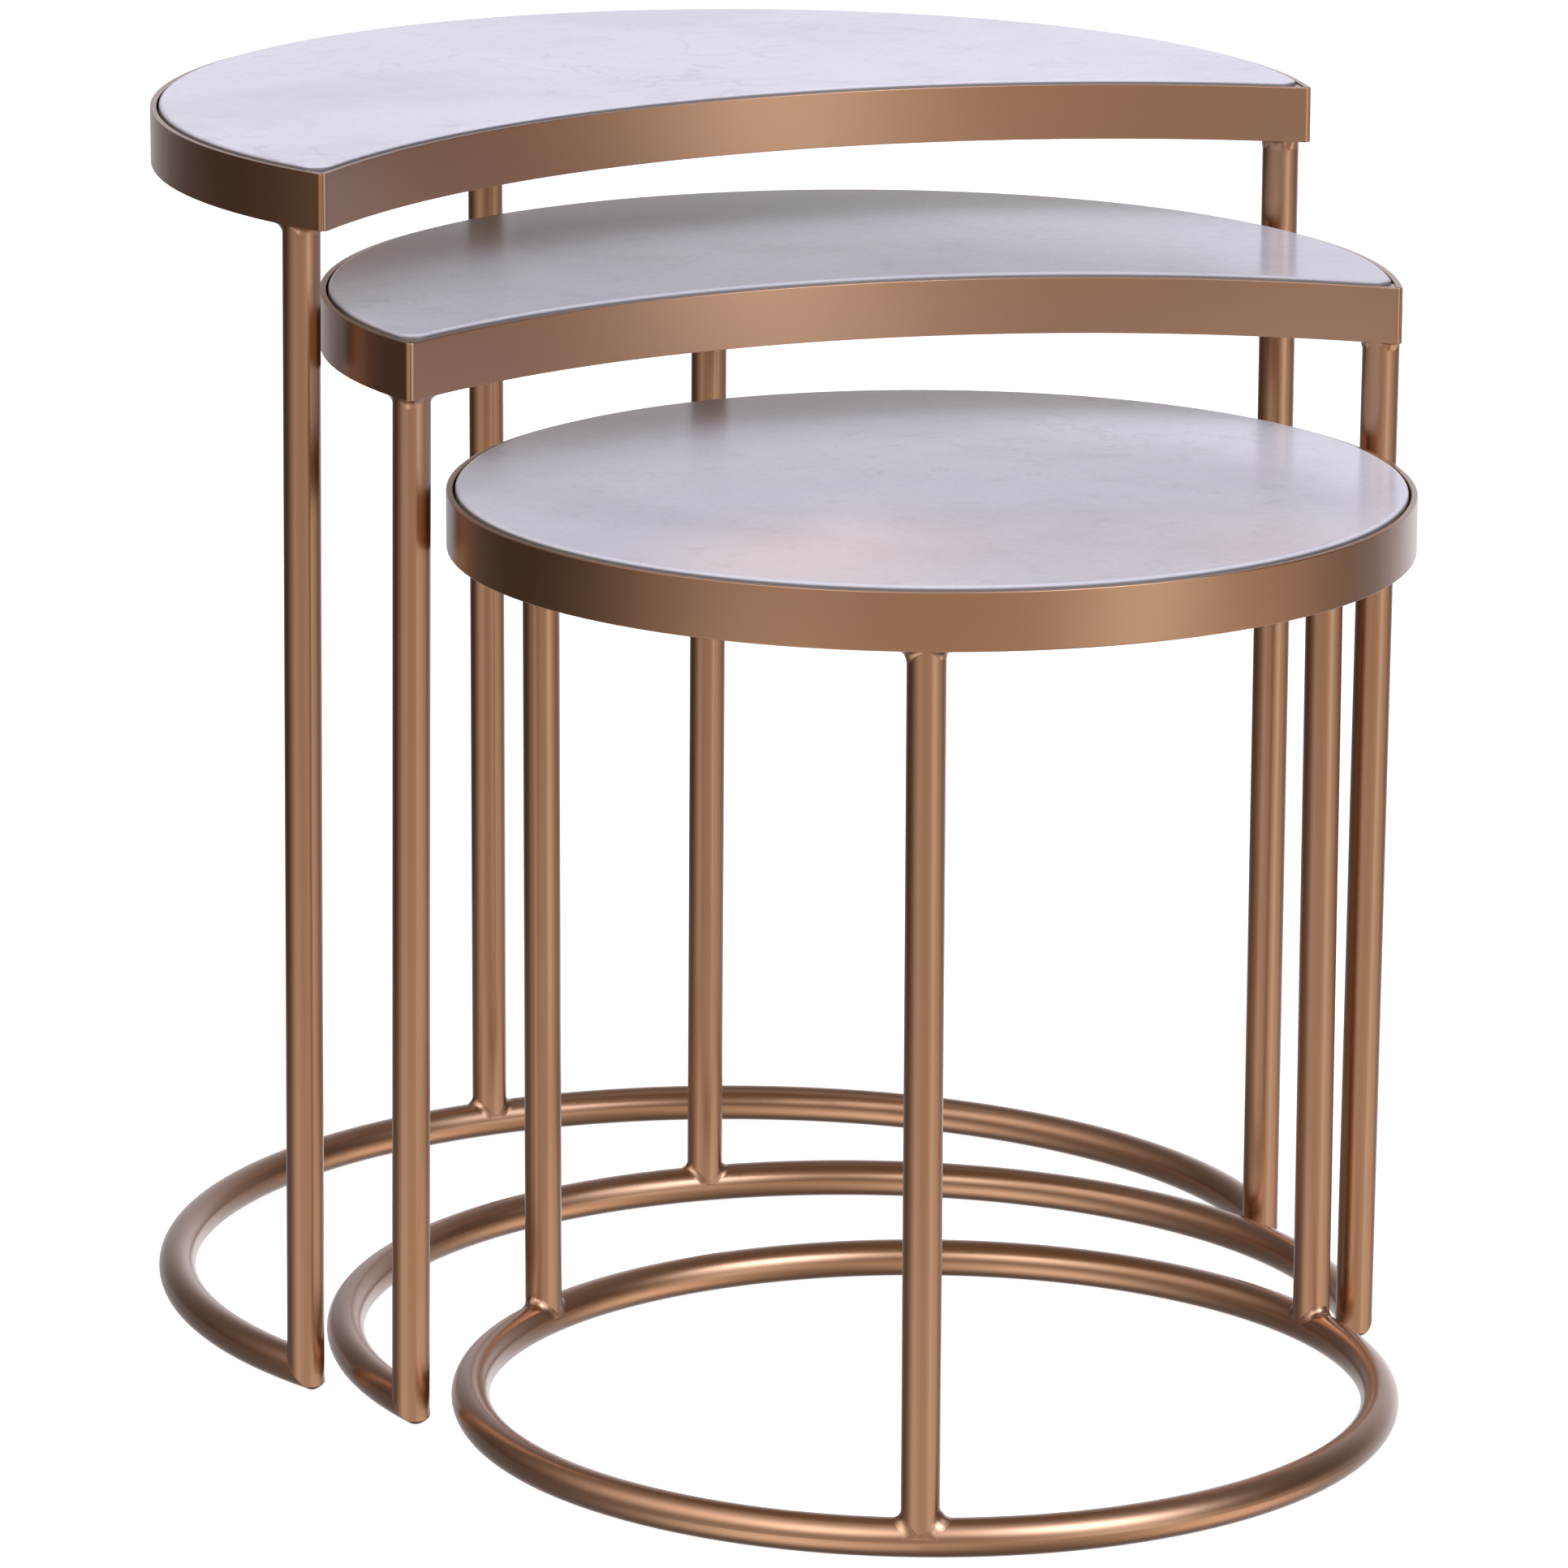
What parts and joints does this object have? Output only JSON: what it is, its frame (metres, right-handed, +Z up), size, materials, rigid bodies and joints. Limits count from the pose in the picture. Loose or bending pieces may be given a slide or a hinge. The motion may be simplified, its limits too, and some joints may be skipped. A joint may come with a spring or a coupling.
{
  "type": "nesting tables",
  "caption": "Round side table that slides under two taller crescent tables, each with a banded stone top on slim tube legs and a floor ring.",
  "frame": {"origin": "on the floor, under the middle of the box around the three tables as they stand pulled out", "axes": "+Z up; +Y from the small table at the front towards the large table at the back; +X to the right seen from the front"},
  "size_m": [0.5368, 0.6484, 0.528],
  "materials": {
    "bronze": "satin bronze-brown metallic paint on welded steel",
    "stone": "honed pale marble with faint grey veins and eased edges",
    "board": "plain fibreboard, hidden under the stone",
    "screws": "zinc-plated pan-head screws"
  },
  "bodies": {
    "large_table": {"large_outer_band": "bronze", "large_inner_band": "bronze", "large_tip_web_left": "bronze", "large_tip_web_right": "bronze", "large_marble_top": "stone", "large_backer_board": "board", "large_leg_pad_left": "bronze", "large_leg_pad_right": "bronze", "large_leg_pad_back": "bronze", "large_inner_tab": "bronze", "large_board_screws": "screws", "large_base_arc": "bronze", "large_leg_left": "bronze", "large_leg_right": "bronze", "large_leg_back": "bronze"},
    "middle_table": {"middle_outer_band": "bronze", "middle_inner_band": "bronze", "middle_tip_web_left": "bronze", "middle_tip_web_right": "bronze", "middle_marble_top": "stone", "middle_backer_board": "board", "middle_leg_pad_left": "bronze", "middle_leg_pad_right": "bronze", "middle_leg_pad_back": "bronze", "middle_inner_tab": "bronze", "middle_board_screws": "screws", "middle_base_arc": "bronze", "middle_leg_left": "bronze", "middle_leg_right": "bronze", "middle_leg_back": "bronze"},
    "small_table": {"small_band": "bronze", "small_marble_top": "stone", "small_backer_board": "board", "small_leg_pad_front": "bronze", "small_leg_pad_right": "bronze", "small_leg_pad_left": "bronze", "small_board_screws": "screws", "small_base_ring": "bronze", "small_leg_front": "bronze", "small_leg_right": "bronze", "small_leg_left": "bronze"}
  },
  "joints": [
    {"name": "middle_slide", "type": "slide", "parent": "large_table", "child": "middle_table", "axis": [0.4756, -0.8796, 0], "range_m": [-0.111, 0.25]},
    {"name": "small_slide", "type": "slide", "parent": "middle_table", "child": "small_table", "axis": [0.299, -0.9542, 0], "range_m": [-0.102, 0.25]}
  ]
}
